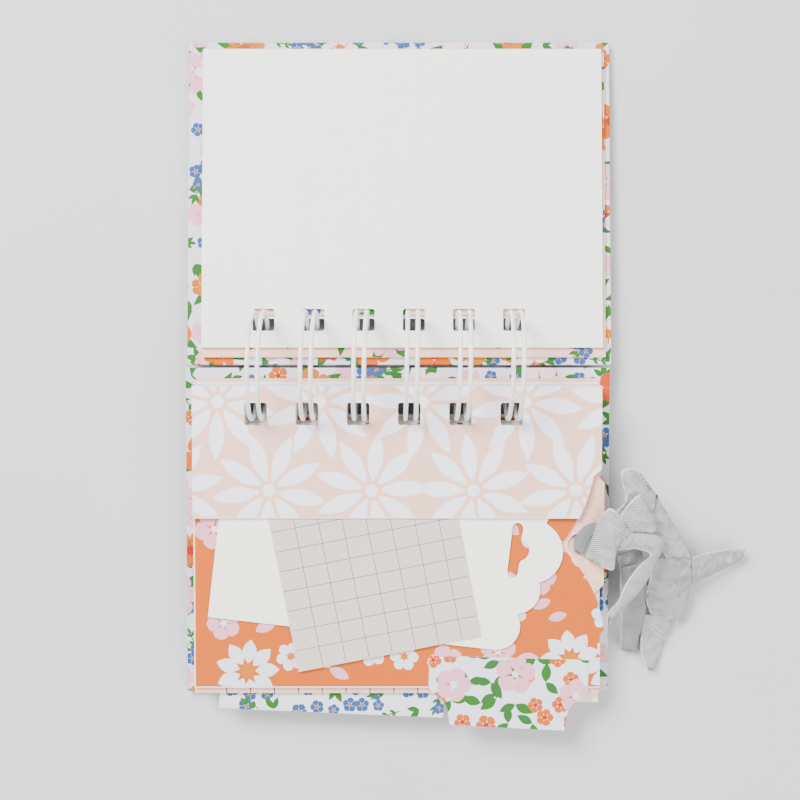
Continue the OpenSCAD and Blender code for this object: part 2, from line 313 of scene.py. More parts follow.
def speckled_material(name):
    """Blush handmade card with darker and lighter flecks."""
    m = Nodes(name)
    base = m.ramp(m.noise(1500, 4, 0.75), linear(232, 172, 150), linear(250, 206, 186), (0.36, 0.6))
    flecks = m.ramp(m.noise(3800, 2, 0.6), grey(0.86), grey(1.0), (0.38, 0.5))
    m.link(m.mix(base, flecks, 1.0, "MULTIPLY"), m.shader, "Base Color")
    m.shader.inputs["Roughness"].default_value = 0.85
    m.bump(m.noise(2400, 4, 0.7), 0.00008, 0.8)
    return m.material


def shade_darkened_chipboard_material():
    # Grey-brown chipboard, made darker than the board really is: painted shade, so that the binding holes
    # read dark.
    m = Nodes("chipboard")
    base = m.ramp(m.noise(900, 6, 0.75), linear(74, 68, 60), linear(112, 104, 92))
    m.link(base, m.shader, "Base Color")
    m.shader.inputs["Roughness"].default_value = 0.92
    m.bump(m.noise(1800, 4, 0.8, (1, 1, 4)), 0.0001, 0.9)
    return m.material


def wire_material():
    """White nylon coating with a slight orange peel and faint scuffs."""
    m = Nodes("coated_wire")
    base = m.ramp(m.noise(420, 4, 0.7), linear(226, 227, 224), linear(246, 246, 243))
    m.link(base, m.shader, "Base Color")
    m.link(m.spread(m.noise(700, 4), 0.22, 0.42), m.shader, "Roughness")
    m.shader.inputs["Coat Weight"].default_value = 0.25
    m.shader.inputs["Coat Roughness"].default_value = 0.2
    m.bump(m.noise(2200, 2), 0.00002, 0.6)
    return m.material


def tape_material():
    m = Nodes("foam_tape")
    base = m.ramp(m.noise(1400, 3), linear(226, 226, 224), linear(242, 242, 240))
    m.link(base, m.shader, "Base Color")
    m.shader.inputs["Roughness"].default_value = 0.6
    m.bump(m.noise(3000, 3), 0.00004, 0.7)
    return m.material


PRINT = paper_material("printed_paper")
SMOOTH_PRINT = paper_material("smooth_printed_paper", rough=0.7, tooth=0.00002, mottle=0.03)
WHITE_CARD = paper_material("white_card", linear(249, 248, 244), ripple_shade=0.012, mottle=0.02)
CREAM_CARD = paper_material("cream_card", linear(254, 252, 243), tooth=0.00003, mottle=0.015)
SPECKLED = speckled_material("speckled_card")
SHADE_DARKENED_CHIPBOARD = shade_darkened_chipboard_material()
WIRE = wire_material()
TAPE = tape_material()

# ---- Sheets ---------------------------------------------------------------


def add_piece(name, mesh, material, body=None, replaced=()):
    """Puts a mesh in the scene, on the body that carries it."""
    mesh.materials.append(material)
    piece = bpy.data.objects.new(name, mesh)
    bpy.context.scene.collection.objects.link(piece)
    if body:
        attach(piece, body)
    if replaced:
        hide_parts(*replaced)
    return piece


def counter_clockwise(points):
    area = sum(a[0] * b[1] - b[0] * a[1] for a, b in zip(points, points[1:] + points[:1]))
    return points if area > 0 else points[::-1]


def triangulated(outline, holes, shapes, ground, creases=()):
    """Cuts an outline into triangles along its holes, printed shapes and creases. Returns the
    points, the triangles and each triangle's ink; a later shape is printed over an earlier one."""
    points, faces, edges = [], [], []
    for polygon in [outline] + [shape for shape, ink in shapes] + holes:
        faces.append(list(range(len(points), len(points) + len(polygon))))
        points += [Vector(p) for p in counter_clockwise(polygon)]
    for line in creases:
        edges.append((len(points), len(points) + 1))
        points += [Vector(p) for p in line]
    flat, _, triangles, _, _, origin = delaunay_2d_cdt(points, edges, faces, 0, 1e-5)
    first_hole = 1 + len(shapes)
    kept, inks = [], []
    for triangle, ids in zip(triangles, origin):
        if 0 in ids and max(ids) < first_hole:
            kept.append(triangle)
            inks.append(INKS[shapes[max(ids) - 1][1] if max(ids) else ground])
    return [tuple(p) for p in flat], kept, inks


def chained(edges):
    """Joins directed edges into closed loops."""
    after, loops = dict(edges), []
    while after:
        start, v = next(iter(after.items()))
        loop = [start]
        del after[start]
        while v != start:
            loop.append(v)
            v = after.pop(v)
        loops.append(loop)
    return loops


def solid_sheet(name, flat, triangles, inks, upper, lower, under, material, body, replaced,
                creases=()):
    """Makes a thin closed solid: upper and lower give a flat point's place on its two faces."""
    used = sorted({v for t in triangles for v in t})
    number = {v: i for i, v in enumerate(used)}
    verts = [upper(*flat[v]) for v in used]
    rim = {}
    for t in triangles:
        for i in range(3):
            edge = (t[i], t[(i + 1) % 3])
            if edge[::-1] in rim:
                del rim[edge[::-1]]
            else:
                rim[edge] = True
    loops = chained(list(rim))

    def area(loop):
        return sum(flat[a][0] * flat[b][1] - flat[b][0] * flat[a][1]
                   for a, b in zip(loop, loop[1:] + loop[:1]))

    loops.sort(key=area, reverse=True)
    back_flat, back_triangles, _ = triangulated(
        [flat[v] for v in loops[0]], [[flat[v] for v in loop] for loop in loops[1:]], [], under, creases)
    edge_verts = [v for loop in loops for v in loop]
    below = {v: len(verts) + i for i, v in enumerate(edge_verts)}
    verts += [lower(*flat[v]) for v in edge_verts]
    near = KDTree(len(edge_verts))
    for i, v in enumerate(edge_verts):
        near.insert((*flat[v], 0), i)
    near.balance()
    back_number = {}
    for i in sorted({v for t in back_triangles for v in t}):
        _, j, gap = near.find((*back_flat[i], 0))
        if gap < 0.0002:
            back_number[i] = below[edge_verts[j]]
        else:
            back_number[i] = len(verts)
            verts.append(lower(*back_flat[i]))
    tops = [[number[v] for v in t] for t in triangles]
    backs = [[back_number[v] for v in reversed(t)] for t in back_triangles]
    walls = [[number[b], number[a], below[a], below[b]] for a, b in rim]
    a, b, c = (verts[i] for i in tops[0])
    out = upper(*flat[triangles[0][0]]) - lower(*flat[triangles[0][0]])
    if (b - a).cross(c - a).dot(out) < 0:
        tops, backs, walls = ([f[::-1] for f in group] for group in (tops, backs, walls))
    faces = tops + backs + walls
    mesh = bpy.data.meshes.new(name)
    mesh.from_pydata(verts, [], faces)
    edge_ink = INKS[under]
    colours = inks + [edge_ink] * (len(backs) + len(walls))
    attribute = mesh.color_attributes.new("ink", "FLOAT_COLOR", "CORNER")
    values = [c for face, colour in zip(faces, colours) for _ in face for c in colour]
    attribute.data.foreach_set("color", values)
    mesh.polygons.foreach_set("use_smooth", [True] * (len(tops) + len(backs)) + [False] * len(walls))
    corner = {tuple(sorted((w[0], w[1]))) for w in walls} | {tuple(sorted((w[2], w[3]))) for w in walls}
    sharp = [tuple(sorted(e.vertices)) in corner for e in mesh.edges]
    mesh.attributes.new("sharp_edge", "BOOLEAN", "EDGE").data.foreach_set("value", sharp)
    return add_piece(name, mesh, material, body, replaced)


def sheet(name, side, outline, h, t, node, body, slot, holes=(), shapes=(), ground="paper",
          under="under", material=None):
    """A flat sheet that stands for one CAD node, from height h upwards."""
    flat, triangles, inks = triangulated(outline, list(holes), list(shapes), ground)
    return solid_sheet(
        name, flat, triangles, inks,
        lambda x, s: side.place(x, s, h + t),
        lambda x, s: side.place(x, s, h),
        under, material or PRINT, body, [node])


FRONT, BACK = Side(1), Side(-1)

# ---- The plain pieces keep their CAD shape --------------------------------


def dress(material, *nodes):
    for node in nodes:
        piece = bpy.data.objects[node]
        piece.data.materials.clear()
        piece.data.materials.append(material)


dress(SHADE_DARKENED_CHIPBOARD, "front_cover_board", "back_cover_board")
dress(WHITE_CARD, "leaf_1_card", "leaf_2_card", "leaf_4_card", "leaf_5_card", "leaf_6_card",
      "leaf_7_card", "front_cover_liner", "back_cover_liner")
dress(TAPE, "leaf_3_tape", "leaf_3_band_tape", "leaf_4_tape", "leaf_5_tape", "leaf_7_tape")

# ---- Generic print for the pages and faces that lie hidden ----------------


def scattered(seed, x0, s0, x1, s1, gap, kinds):
    """Fills a rectangle with motifs on a loose grid. Each kind is a function of rng, x, s."""
    rng = random.Random(seed)
    shapes = []
    rows, columns = round((s1 - s0) / gap), round((x1 - x0) / gap)
    for j in range(rows):
        for i in range(columns):
            x = x0 + (i + 0.5 + rng.uniform(-0.25, 0.25) + 0.5 * (j % 2)) * gap
            s = s0 + (j + 0.5 + rng.uniform(-0.25, 0.25)) * gap
            shapes += rng.choice(kinds)(rng, x, s)
    return shapes


def blue_bloom(rng, x, s):
    return flower(x, s, rng.uniform(1.5, 2.2), "blue", "gold", 5, turn=rng.uniform(0, 72))


def orange_bloom(rng, x, s):
    return flower(x, s, rng.uniform(2.0, 2.8), "orange", "red", 5, turn=rng.uniform(0, 72))


def pink_bloom(rng, x, s):
    return flower(x, s, rng.uniform(2.4, 3.4), "pink", "rose", 5, turn=rng.uniform(0, 72))


def leaf_pair(rng, x, s):
    a = rng.uniform(0, 360)
    return leaf(x, s, a, 3.8, 1.6) + leaf(x, s, a + 55, 3.2, 1.4, "dark_green")


def small_sprig(rng, x, s):
    return sprig(x, s, rng.uniform(0, 360), 4.2, 2, 1.8)


GARDEN = [blue_bloom, orange_bloom, pink_bloom, leaf_pair, small_sprig]


def posy(rng, x, s):
    """A large blossom on its leaves."""
    ink, heart = rng.choice([("orange", "red"), ("pink", "white"), ("yellow", "deep_orange"),
                             ("pale_pink", "gold"), ("deep_orange", "yellow")])
    size, turn = rng.uniform(4.2, 6.2), rng.uniform(0, 72)
    shapes = []
    for k in range(4):
        shapes += leaf(x, s, turn + 90 * k + rng.uniform(-20, 20), size * 1.5, size * 0.5,
                       rng.choice(["green", "dark_green"]))
    shapes += flower(x, s, size, ink, heart, rng.choice([5, 6, 8]), turn=turn)
    shapes += [(petal(x, s, turn + 36 + 72 * k, size * 0.3, size * 0.55, 0.35, 1, 0.5), heart)
               for k in range(5)]
    return shapes


def cluster(rng, x, s):
    """A few small blue flowers on a sprig."""
    shapes = sprig(x, s, rng.uniform(0, 360), 6, 3, 2.4)
    for k in range(4):
        a = math.radians(90 * k + rng.uniform(0, 60))
        shapes += blue_bloom(rng, x + 2.6 * math.cos(a), s + 2.6 * math.sin(a))
    return shapes


def white_daisy(rng, x, s):
    return daisy(x, s, rng.uniform(6.8, 8.2), 3.5, "white", "gold", 9, 2, 1.8, rng.uniform(0, 40))


def rosette(rng, x, s):
    return flower(x, s, rng.uniform(4.2, 5.2), "pink", "white", 5, turn=rng.uniform(0, 72), heart_r=0.9)


def white_star(rng, x, s):
    return flower(x, s, rng.uniform(3.4, 4.4), rng.choice(["white", "lavender"]), "gold", 6,
                  turn=rng.uniform(0, 60))


def stray_petals(rng, x, s):
    """Two loose petals."""
    shapes = []
    for k in (-1, 1):
        length = rng.uniform(4.2, 6.4)
        shapes.append((petal(x + 2 * k, s + 1.6 * k, rng.uniform(0, 180), -length / 2, length / 2,
                             length * 0.5, 1.0, 0.7), rng.choice(["pink", "white"])))
    return shapes


def broad_leaves(rng, x, s):
    a = rng.uniform(0, 360)
    return leaf(x, s, a, 5, 2.5) + leaf(x, s, a + 130, 4.4, 2.2, "dark_green")


def cover_print(seed):
    """The flowered paper, over the whole unfolded sheet."""
    return (scattered(seed, -67, -13, 67, 97, 6, GARDEN)
            + scattered(seed + 50, -67, -13, 67, 97, 13.5, [posy, posy, cluster]))

# ---- Covers: one sheet of paper, folded round the board -------------------

COVER_W, COVER_L, COVER_EDGE, COVER_HOLE = 107.9, 83, 0.7, 9
OUT, IN, WRAP_T, TURN_IN = 10.5, 8.1, 0.2, 12
FOLD_R = 0.3
CORNER = FOLD_R * math.pi / 2
ROUND = 2 * CORNER + OUT - IN - 2 * FOLD_R      # paper from one face's edge to the other's


class Wrap:
    """The wrapping paper of one cover, drawn unfolded round the cover's outer face."""

    def __init__(self, side, centre):
        self.side = side
        self.x0, self.x1 = centre - COVER_W / 2 + FOLD_R, centre + COVER_W / 2 - FOLD_R
        self.s0, self.s1 = COVER_EDGE + FOLD_R, COVER_EDGE + COVER_L - FOLD_R

    def flap(self, a, b, out, turn):
        """The outline of one flap, past the edge from a to b."""
        (ax, ay), (bx, by) = a, b
        length = math.hypot(bx - ax, by - ay)
        along = ((bx - ax) / length, (by - ay) / length)
        steps = [(0, 0), (CORNER, -FOLD_R), (ROUND - CORNER, -FOLD_R), (ROUND, 0),
                 (ROUND + turn, turn)]
        near = [(ax + out[0] * d + along[0] * e, ay + out[1] * d + along[1] * e) for d, e in steps]
        far = [(bx + out[0] * d - along[0] * e, by + out[1] * d - along[1] * e) for d, e in steps]
        return near + far[::-1]

    def outline(self):
        x0, x1, s0, s1 = self.x0, self.x1, self.s0, self.s1
        turn = TURN_IN - FOLD_R
        ring = self.flap((x0, s0), (x1, s0), (0, -1), turn + 2)[:-1]
        ring += self.flap((x1, s0), (x1, s1), (1, 0), turn)[:-1]
        ring += self.flap((x1, s1), (x0, s1), (0, 1), turn)[:-1]
        return ring + self.flap((x0, s1), (x0, s0), (-1, 0), turn)[:-1]

    def folded(self, x, s, depth):
        past = {(-1, 0): self.x0 - x, (1, 0): x - self.x1, (0, -1): self.s0 - s, (0, 1): s - self.s1}
        out, d = max(past.items(), key=lambda item: item[1])
        if d <= 0:
            return self.side.place(x, s, depth - OUT)
        reach, height = fold_path(d, depth)
        base_x = {-1: self.x0, 1: self.x1}.get(out[0], x)
        base_s = {-1: self.s0, 1: self.s1}.get(out[1], s)
        return self.side.place(base_x + out[0] * reach, base_s + out[1] * reach, height)

    def creases(self):
        lines = []
        for k in range(4):
            for part in (k / 3 * CORNER, ROUND - k / 3 * CORNER):
                lines += [[(self.x0 - part, self.s0 - 20), (self.x0 - part, self.s1 + 20)],
                          [(self.x1 + part, self.s0 - 20), (self.x1 + part, self.s1 + 20)],
                          [(self.x0 - 20, self.s0 - part), (self.x1 + 20, self.s0 - part)],
                          [(self.x0 - 20, self.s1 + part), (self.x1 + 20, self.s1 + part)]]
        return lines

    def holes(self):
        flat = self.side.holes(COVER_EDGE, COVER_HOLE)
        return flat + [[(x, 2 * self.s0 - s - ROUND) for x, s in hole] for hole in flat]


def fold_path(d, depth):
    """Where the paper lies, d past the edge of the outer face: outwards and up."""
    r = FOLD_R - depth
    if d < CORNER:
        a = d / FOLD_R
        return r * math.sin(a), -OUT + FOLD_R - r * math.cos(a)
    if d < ROUND - CORNER:
        return r, -OUT + FOLD_R + d - CORNER
    if d < ROUND:
        a = (d - ROUND + CORNER) / FOLD_R
        return r * math.cos(a), -IN - FOLD_R + r * math.sin(a)
    return ROUND - d, -IN - depth


def cover_wrap(name, side, centre, node, body, shapes):
    wrap = Wrap(side, centre)
    flat, triangles, inks = triangulated(wrap.outline(), wrap.holes(), shapes, "lavender", wrap.creases())
    solid_sheet(name, flat, triangles, inks,
                lambda x, s: wrap.folded(x, s, 0.0), lambda x, s: wrap.folded(x, s, WRAP_T - 0.02),
                "under", PRINT, body, [node], wrap.creases())

FRONT_CENTRE, BACK_CENTRE = -0.2, -0.6


cover_wrap("front_wrap_paper", FRONT, FRONT_CENTRE, "front_cover_wrap", "front_cover", cover_print(11))
cover_wrap("back_wrap_paper", BACK, BACK_CENTRE, "back_cover_wrap", "back_cover", cover_print(12))

# ---- Leaves ---------------------------------------------------------------

CARD_T, PAPER_T = 0.4, 0.3
BASE_1, BASE_2 = -7.85, -6.9
BASE_7, BASE_6, BASE_5, BASE_4, BASE_3 = -7.85, -6.35, -4.85, -3.35, -1.85
PAPER_UP = CARD_T + 0.6


def page(name, side, left, edge, w, l, h, node, body, slot, to_hole=7, **options):
    return sheet(name, side, box2(left, edge, left + w, edge + l), h, PAPER_T, node, body, slot,
                 holes=side.holes(edge, to_hole), **options)


page("leaf_1_print", FRONT, FRONT_PAGE_LEFT, 2.6, 102.4, 78.2, BASE_1 + CARD_T, "leaf_1_paper",
     "leaf_1", "printed_paper", 8, shapes=scattered(21, -50, 4, 50, 79, 10,
                                      [posy, posy, cluster, leaf_pair]), ground="blush")
page("leaf_2_print", FRONT, FRONT_PAGE_LEFT, 5, 101.6, 76.4, BASE_2, "leaf_2_paper", "leaf_2",
     "printed_paper", shapes=scattered(22, -48, 8, 49, 79, 8.4, [pink_bloom, leaf_pair, small_sprig]),
     ground="lavender")

page("leaf_7_print", BACK, PAGE_LEFT, 3.4, 101.6, 76.2, BASE_7 + PAPER_UP, "leaf_7_paper", "leaf_7",
     "printed_paper", shapes=scattered(23, -48, 10, 46, 75, 9.6, [pink_bloom, posy, leaf_pair]),
     ground="blush")
page("leaf_5_print", BACK, PAGE_LEFT, 4.7, 101.6, 76.2, BASE_5 + PAPER_UP, "leaf_5_paper", "leaf_5",
     "printed_paper", shapes=scattered(24, -50, 8, 48, 79, 7.8, [leaf_pair, small_sprig, blue_bloom]),
     ground="lavender")
page("leaf_4_print", BACK, PAGE_LEFT, 5, 101.6, 76.2, BASE_4 + PAPER_UP, "leaf_4_paper", "leaf_4",
     "printed_paper", shapes=scattered(25, -50, 8, 48, 79, 8, [orange_bloom, leaf_pair, blue_bloom]),
     ground="blush")
sheet("leaf_6_mat_print", BACK, box2(-46, 20, 44, 77), BASE_6 + CARD_T, PAPER_T, "leaf_6_mat", "leaf_6",
      "pink_paper", shapes=scattered(26, -45, 21, 43, 76, 6.4, [small_sprig]), ground="pale_pink")
dress(paper_material("orange_band", INKS["orange"]), "leaf_6_belly_band")


def ruled(x0, s0, x1, s1, dx, ds, ink="rule", w=0.17):
    """Lines across a rectangle, dx and ds apart. A spacing of None leaves those lines out."""
    rows = [s0 + ds * k for k in range(1, int((s1 - s0) / ds) + 1)] if ds else []
    columns = [x0 + dx * k for k in range(1, int((x1 - x0) / dx) + 1)] if dx else []
    return ([(box2(x0, y - w / 2, x1, y + w / 2), ink) for y in rows]
            + [(box2(x - w / 2, s0, x + w / 2, s1), ink) for x in columns])


# ---- Inserts --------------------------------------------------------------

sheet("leaf_7_insert_card", BACK, box2(-44, 19, 44, 80.5), BASE_7 + CARD_T + 0.15, PAPER_T,
      "leaf_7_insert", "insert_7", "cream_card", material=CREAM_CARD)
sheet("journal_card", BACK, box2(-38, 24, 34, 74), BASE_6 + CARD_T + PAPER_T + 0.1, 0.25,
      "leaf_6_journal_card", "insert_6", "white_card",
      shapes=ruled(-35, 27, 31, 71, None, 6), ground="paper")
sheet("cream_pocket_card", BACK, box2(10.2, 25.4, 50.2, 85.4), BASE_5 + CARD_T + 0.15, PAPER_T,
      "cream_insert", "insert_5", "cream_card", material=CREAM_CARD)

TURN_4 = 2.5
sheet("blue_flower_card", BACK, turned(box2(0, 0, 56.6, 61.6), TURN_4, -43, 25),
      BASE_4 + CARD_T + 0.15, PAPER_T, "blue_flower_insert", "insert_4", "printed_paper",
      shapes=scattered(31, -44, 27, 14, 88, 4.4, [blue_bloom, blue_bloom, blue_bloom, leaf_pair,
                                                  small_sprig]), ground="white")

# ---- Leaf 3: grid card, orange sheet, daisy band, tab ---------------------

GRID_L, ORANGE_L, BAND_L = 77.4, 75.8, 33
ORANGE_H, BAND_H = -0.7, 0.6
EDGE_3 = 5
CUSP = (40.7, 44.7)
NOTCH = ([(PAGE_RIGHT, 25.9)] + arc(9.7, 20.3, 39, 10.5, 38, 12) + [CUSP]
         + arc(16.9, 70.6, 34.4, -47.5, -7, 14) + [(PAGE_RIGHT, 67.2)])


def notched(length):
    """The page's outline with the bite out of its right edge, as far as the sheet reaches."""
    end = EDGE_3 + length
    bite = [p for p in NOTCH if p[1] < end]
    if bite[-1][0] < PAGE_RIGHT:
        bite.append((bite[-1][0] if end < CUSP[1] else PAGE_RIGHT, end))
    corner = [] if end < CUSP[1] else [(PAGE_RIGHT, end)]
    return [(PAGE_LEFT, EDGE_3), (PAGE_RIGHT, EDGE_3)] + bite + corner + [(PAGE_LEFT, end)]


grid_print = []
for k in range(16):
    x = -43.6 + 6.01 * k
    grid_print.append((box2(x - 0.14, 80.9, x + 0.14, 82.4), "tick"))
for k in range(64):
    x = -43.6 + 1.5 * k
    grid_print.append((box2(x - 0.04, 81.7, x + 0.04, 82.3), "rule"))
grid_print += ruled(-49, 12, 48, 79, 6.01, 6.01)
sheet("grid_backing", BACK, box2(PAGE_LEFT, EDGE_3, PAGE_RIGHT, EDGE_3 + GRID_L), BASE_3, CARD_T,
      "leaf_3_grid_card", "leaf_3", "grid_paper", holes=BACK.holes(EDGE_3, 7),
      shapes=grid_print, ground="blush", under="paper")

orange_print = scattered(41, -51, 37, 51, 84, 10.6,
                         [white_daisy, rosette, white_star, stray_petals, stray_petals])
orange_print += [(box2(PAGE_LEFT, EDGE_3, PAGE_LEFT + 0.35, EDGE_3 + ORANGE_L), "white"),
                 (box2(PAGE_LEFT, EDGE_3 + ORANGE_L - 0.3, PAGE_RIGHT, EDGE_3 + ORANGE_L), "white")]
sheet("orange_pocket_sheet", BACK, notched(ORANGE_L), ORANGE_H, PAPER_T, "leaf_3_orange_paper",
      "leaf_3", "orange_paper", holes=BACK.holes(EDGE_3, 7), shapes=orange_print, ground="orange",
      material=SMOOTH_PRINT)

# Daisies in staggered rows, four to the page's width.
DAISY_GAP, DAISY_ROW = 101.6 / 4, 22
band_print = []
for row in range(2):
    for k in range(-1, 5):
        band_print += daisy(PAGE_LEFT + DAISY_GAP * (k + 0.25 + row / 2), EDGE_3 + 4 + DAISY_ROW * row,
                            14.4, 3.9, "petal", "petal", 9, 2.2, 1.6, 12 + 25 * k)
band_print.append((box2(PAGE_LEFT, EDGE_3 + BAND_L - 0.25, PAGE_RIGHT, EDGE_3 + BAND_L), "white"))
sheet("daisy_pocket_band", BACK, notched(BAND_L), BAND_H, PAPER_T, "leaf_3_daisy_band", "leaf_3",
      "daisy_paper", holes=BACK.holes(EDGE_3, 7), shapes=band_print, ground="blush",
      material=SMOOTH_PRINT)

TAB_W = 39.9
tab_outline = turned(
    [(TAB_W, 0), (0, 0), (0, 8)] + arc(0, 14.6, 5, -75, -15, 8) + [(5.6, 17.4), (TAB_W - 5.6, 18)]
    + arc(TAB_W, 14.6, 5, 195, 255, 8) + [(TAB_W, 8.6)], 1.7, 7.4, 72.6)
tab_print = scattered(44, 6, 71, 52, 93, 5.2, [orange_bloom, orange_bloom, broad_leaves, broad_leaves])
tab_print += scattered(45, 8, 73, 50, 93, 14, [rosette])[:24]
sheet("floral_file_tab", BACK, tab_outline, ORANGE_H + PAPER_T, 0.25, "leaf_3_floral_tab", "leaf_3",
      "tab_paper", shapes=tab_print, ground="white", material=SMOOTH_PRINT)

# ---- Loose tags -----------------------------------------------------------

TAG_T = 0.25
SCALLOP_W = 46.5
LOBES = [(71.8, 6, 6), (75.7, 15.6, 6), (78.3, 25.5, 7.9), (75.7, 35.4, 6), (71.8, 45, 6)]


def scallop_outline(inset=0.0, n=90):
    """The tag's outline: for each v across it, the farthest lobe or the straight end."""
    vs = [inset + (SCALLOP_W - 2 * inset) * i / n for i in range(n + 1)]
    end = []
    for v in vs:
        reach = 72.0
        for cu, cv, r in LOBES:
            if abs(v - cv) < r:
                reach = max(reach, cu + math.sqrt(r * r - (v - cv) ** 2))
        end.append((reach - inset, v))
    return [(inset, inset)] + end + [(inset, SCALLOP_W - inset)]


def scallop_place(points):
    return [(x, y) for x, y in turned([(u, -v) for u, v in points], 6.6, -48, 62.8)]


slot_hole = arc(74.3, 20, 1.35, -180, 0, 8) + [(75.65, 22)] + arc(75.2, 25.5, 2.6, -70, 70, 8) \
    + [(75.65, 29)] + arc(74.3, 31, 1.35, 0, 180, 8)
sheet("scallop_card", BACK, scallop_place(scallop_outline()), ORANGE_H + PAPER_T + 0.3, TAG_T,
      "scallop_tag", "scallop_tag_body", "cream_card", holes=[scallop_place(slot_hole)],
      material=CREAM_CARD)


def ledger_place(points):
    return turned([(u, -v) for u, v in points], -11.1, -25.3, 76.6)


ledger_lines = [(ledger_place(p), ink) for p, ink in ruled(0.3, 0.3, 46.2, 50.7, 5.9, 5.05)]
sheet("ledger_note", BACK, ledger_place(box2(0, 0, 46.5, 51)), ORANGE_H + PAPER_T + 0.6, TAG_T,
      "ledger_card", "ledger_card_body", "ledger_paper", shapes=ledger_lines, ground="ledger")

TAG_END, TAG_NEAR, TAG_L, TAG_W, CLIP = 51, 25.2, 70, 33.6, 4
TAG_H = BASE_3 + CARD_T + 0.25
sheet("pink_shipping_tag", BACK,
      [(TAG_END - TAG_L, TAG_NEAR), (TAG_END - CLIP, TAG_NEAR), (TAG_END, TAG_NEAR + CLIP),
       (TAG_END, TAG_NEAR + TAG_W - CLIP), (TAG_END - CLIP, TAG_NEAR + TAG_W),
       (TAG_END - TAG_L, TAG_NEAR + TAG_W)],
      TAG_H, 0.35, "pink_tag", "ribbon_tag", "speckled_card", holes=[blob(44.6, 44.7, 2.6, n=24)],
      material=SPECKLED)

# ---- Binding wire ---------------------------------------------------------

TWIN_GAP, BEND_R = 2.5, 1.0
LEAN = 0.3                       # each loop leans, less than the play that a turned leaf's hole has


def tube(name, path, radius, sides, material, body=None, replaced=()):
    """A closed round tube along a path of points in metres."""
    count = len(path)
    tangents = [(path[min(i + 1, count - 1)] - path[max(i - 1, 0)]).normalized() for i in range(count)]
    normal = tangents[0].orthogonal().normalized()
    verts = []
    for p, t in zip(path, tangents):
        normal = (normal - t * normal.dot(t)).normalized()
        across = t.cross(normal)
        for k in range(sides):
            a = 2 * math.pi * k / sides
            verts.append(p + radius * (math.cos(a) * normal + math.sin(a) * across))
    faces = [[i * sides + k, i * sides + (k + 1) % sides, (i + 1) * sides + (k + 1) % sides,
              (i + 1) * sides + k] for i in range(count - 1) for k in range(sides)]
    faces += [list(range(sides))[::-1], [(count - 1) * sides + k for k in range(sides)]]
    mesh = bpy.data.meshes.new(name)
    mesh.from_pydata(verts, [], faces)
    mesh.polygons.foreach_set("use_smooth", [True] * len(faces))
    return add_piece(name, mesh, material, body, replaced)


def on_ring(x, angle, radius=RING_R):
    a = math.radians(angle)
    return Vector((MIDDLE_X + (x + LEAN * math.cos(a)) * MM, AXIS_Y + radius * math.cos(a) * MM,
                   AXIS_Z + radius * math.sin(a) * MM))


def twin_loop(x):
    """One twin hoop, from the link on its left to the link on its right."""
    root = 270 + math.degrees(math.atan(BEND_R / RING_R)) - 360
    tip = 270 - math.degrees((TWIN_GAP / 2 + 1.7) / RING_R)
    points = []
    for k in range(7):
        a = math.radians(90 * k / 6)
        points.append((x - TWIN_GAP / 2 - BEND_R + BEND_R * math.sin(a), BEND_R - BEND_R * math.cos(a)))
    path = [on_ring(px, -90 + math.degrees(along / RING_R),
                    RING_R + (math.hypot(RING_R, BEND_R) - RING_R) * (1 - along / BEND_R))
            for px, along in points]
    path += [on_ring(x - TWIN_GAP / 2, root + (tip - root) * k / 64) for k in range(1, 65)]
    for k in range(1, 8):
        a = math.radians(180 * k / 8)
        path.append(on_ring(x - TWIN_GAP / 2 * math.cos(a),
                            tip + math.degrees(TWIN_GAP / 2 * math.sin(a) / RING_R)))
    half = [on_ring(x + TWIN_GAP / 2, tip + (root - tip) * k / 64) for k in range(64)]
    path += half
    for px, along in reversed(points):
        path.append(on_ring(2 * x - px, -90 + math.degrees(along / RING_R),
                            RING_R + (math.hypot(RING_R, BEND_R) - RING_R) * (1 - along / BEND_R)))
    return path


wire_path = []
for i in range(LOOPS):
    wire_path += twin_loop(hole_x(i))
stub = Vector(((PITCH - TWIN_GAP - 2 * BEND_R) / 3 * MM, 0, 0))
wire_path = [wire_path[0] - stub] + wire_path + [wire_path[-1] + stub]
tube("binding_wire", wire_path, WIRE_D / 2 * MM, 12, WIRE, "wire_binding",
     ["twin_loop_wire"])

# ---- Ribbon: sheer woven strips, crumpled and knotted at the tag ----------

RIBBON_W, RIBBON_T = 12.7, 0.05   # an assumed stock width
SELVEDGE_W = 0.35
MOST_LAYERS = 3.4                 # a narrow stretch is the full width folded over and over


